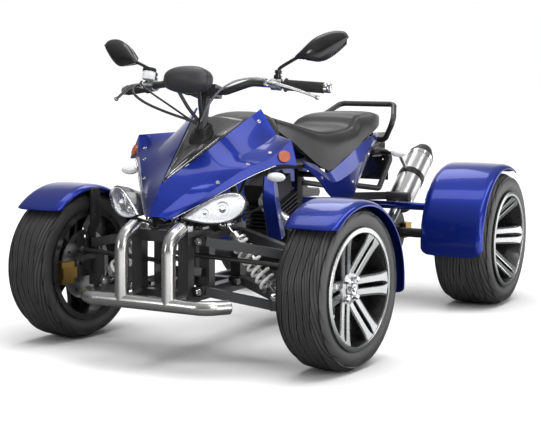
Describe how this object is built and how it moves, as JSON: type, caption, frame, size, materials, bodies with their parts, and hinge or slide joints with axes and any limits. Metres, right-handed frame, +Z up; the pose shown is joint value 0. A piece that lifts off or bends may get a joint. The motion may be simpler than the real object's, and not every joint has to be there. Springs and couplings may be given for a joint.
{
  "type": "quad bike",
  "caption": "Road quad bike with steered front wheels on double wishbones, pointed nose with slanting headlamps, long stepped seat, close mudguards and a chain-driven rear axle.",
  "frame": {"origin": "on the ground under the middle of the vehicle's box", "axes": "+X to the front of the vehicle, +Y to the rider's left, +Z up"},
  "size_m": [1.9548, 1.2392, 1.0444],
  "materials": {
    "frame": "satin black",
    "bumper": "polished tube",
    "arm": "grey powder coat",
    "damper": "machined",
    "spring": "white",
    "paint": "deep blue, clear-coated",
    "black_gloss": "gloss black",
    "black_plastic": "matte black",
    "lens": "clear",
    "amber": "amber",
    "red_lens": "red",
    "seat": "black vinyl",
    "engine": "cast, grey",
    "exhaust": "satin steel",
    "muffler": "brushed",
    "steel": "machined",
    "caliper": "gold",
    "alloy": "polished",
    "grip": "ribbed",
    "mirror": "silvered",
    "tyre": "road tread",
    "rim": "machined faces, black windows",
    "iron": "black"
  },
  "bodies": {
    "chassis": {"front_frame": "frame", "lower_frame": "frame", "rear_frame": "frame", "upper_frame": "frame", "tail_stays": "frame", "panel_stays": "frame", "front_bumper": "bumper", "upper_arms": "arm", "lower_arms": "arm", "dampers": "damper", "springs": "spring", "cowls": "paint", "nose_panel": "black_gloss", "headlamp_housings": "black_gloss", "headlamp_lenses": "lens", "indicators": "black_plastic", "side_reflectors": "amber", "side_scoops": "paint", "tank_cover": "black_plastic", "seat": "seat", "tail_panels": "paint", "tail_box": "black_plastic", "tail_lamp": "red_lens", "grab_rail": "frame", "engine": "engine", "exhaust_pipe": "exhaust", "muffler": "muffler", "swingarm": "frame", "rear_caliper": "caliper", "chain": "steel", "footrests": "frame", "rear_guards": "paint", "guard_beam": "frame"},
    "steering": {"steering_stem": "frame", "handlebar": "alloy", "grips": "grip", "levers": "alloy", "mirrors": "black_plastic", "mirror_glass": "mirror", "instrument_pod": "black_plastic"},
    "knuckle_left": {"knuckle_left": "iron", "front_guard_left": "paint"},
    "knuckle_right": {"knuckle_right": "iron", "front_guard_right": "paint"},
    "tie_rod_left": {"tie_rod_left": "steel"},
    "tie_rod_right": {"tie_rod_right": "steel"},
    "wheel_front_left": {"front_tyre_left": "tyre", "front_rim_left": "rim", "front_hub_left": "steel"},
    "wheel_front_right": {"front_tyre_right": "tyre", "front_rim_right": "rim", "front_hub_right": "steel"},
    "rear_axle": {"rear_axle": "steel", "rear_tyres": "tyre", "rear_rims": "rim", "rear_sprocket": "steel"}
  },
  "joints": [
    {"name": "steering", "type": "hinge", "parent": "chassis", "child": "steering", "pos_m": [0.74, 0, 0.31], "axis": [-0.2588, 0, 0.9659], "range_deg": [-28, 38]},
    {"name": "knuckle_left", "type": "hinge", "parent": "chassis", "child": "knuckle_left", "pos_m": [0.65, 0.402, 0.253], "axis": [0, 0, 1], "range_deg": [-28, 38]},
    {"name": "knuckle_right", "type": "hinge", "parent": "chassis", "child": "knuckle_right", "pos_m": [0.65, -0.402, 0.253], "axis": [0, 0, 1], "range_deg": [-28, 38]},
    {"name": "tie_rod_left", "type": "hinge", "parent": "steering", "child": "tie_rod_left", "pos_m": [0.80803, -0.00654, 0.34479], "axis": [-0.2588, 0, 0.9659], "range_deg": [-38, 28]},
    {"name": "tie_rod_right", "type": "hinge", "parent": "steering", "child": "tie_rod_right", "pos_m": [0.81631, -0.00654, 0.31388], "axis": [-0.2588, 0, 0.9659], "range_deg": [-38, 28]},
    {"name": "wheel_front_left", "type": "hinge", "parent": "knuckle_left", "child": "wheel_front_left", "pos_m": [0.65911, 0.5061, 0.253], "axis": [0.0872, 0.9962, 0], "continuous": true},
    {"name": "wheel_front_right", "type": "hinge", "parent": "knuckle_right", "child": "wheel_front_right", "pos_m": [0.64089, -0.5061, 0.253], "axis": [0.0872, 0.9962, 0], "continuous": true},
    {"name": "rear_axle", "type": "hinge", "parent": "chassis", "child": "rear_axle", "pos_m": [-0.71, 0, 0.2605], "axis": [0, 1, 0], "continuous": true}
  ],
  "couplings": [
    {"joint": "knuckle_left", "follows": "steering", "ratio": 1},
    {"joint": "knuckle_right", "follows": "steering", "ratio": 1},
    {"joint": "tie_rod_left", "follows": "steering", "ratio": -1},
    {"joint": "tie_rod_right", "follows": "steering", "ratio": -1}
  ]
}
